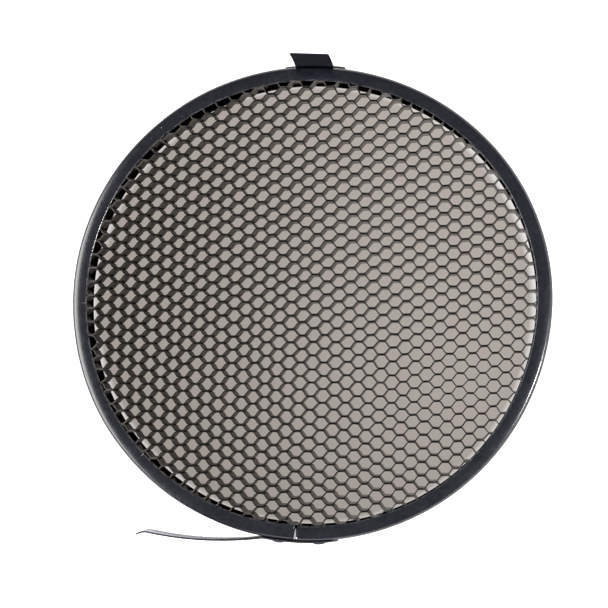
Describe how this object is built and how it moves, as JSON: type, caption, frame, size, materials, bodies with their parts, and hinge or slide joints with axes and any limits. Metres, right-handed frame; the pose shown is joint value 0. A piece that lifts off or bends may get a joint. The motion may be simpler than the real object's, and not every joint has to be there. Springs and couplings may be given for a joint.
{
  "type": "honeycomb grid",
  "caption": "Round honeycomb light grid: a foil core in a black rolled channel ring, with a leaf spring that grips the reflector and a pull tab.",
  "frame": {"origin": "centre of the ring on the plane of its back flange, which the grid lies on", "axes": "+Z along the cells, out of the front face towards the subject; +Y towards the pull tab"},
  "size_m": [0.171, 0.1721, 0.0344],
  "materials": {
    "painted_ring": "satin black powder coat on aluminium, worn to bare metal at the cut ends",
    "foil": "dark anodised aluminium foil, bare along the cut edges",
    "spring_steel": "cold rolled spring steel with dark sheared edges",
    "rivets": "blackened steel",
    "tab_vinyl": "matt black flexible vinyl tape"
  },
  "bodies": {
    "frame": {"ring_channel": "painted_ring", "honeycomb_core": "foil", "spring_base": "spring_steel", "rivet_left": "rivets", "rivet_right": "rivets", "tab_root": "tab_vinyl", "tab_plate": "painted_ring"},
    "spring": {"spring_arm": "spring_steel"},
    "tab": {"pull_tab": "tab_vinyl"}
  },
  "joints": [
    {"name": "spring_flex", "type": "hinge", "parent": "frame", "child": "spring", "pos_m": [-0.0167, -0.0836, 0.0065], "axis": [0, 0, 1], "range_deg": [-19, 4], "stiffness_Nm_per_rad": 0.2},
    {"name": "tab_fold", "type": "hinge", "parent": "frame", "child": "tab", "pos_m": [0.0016, 0.08503, 0.0143], "axis": [1, 0, 0], "range_deg": [-90, 90], "stiffness_Nm_per_rad": 0.002}
  ]
}
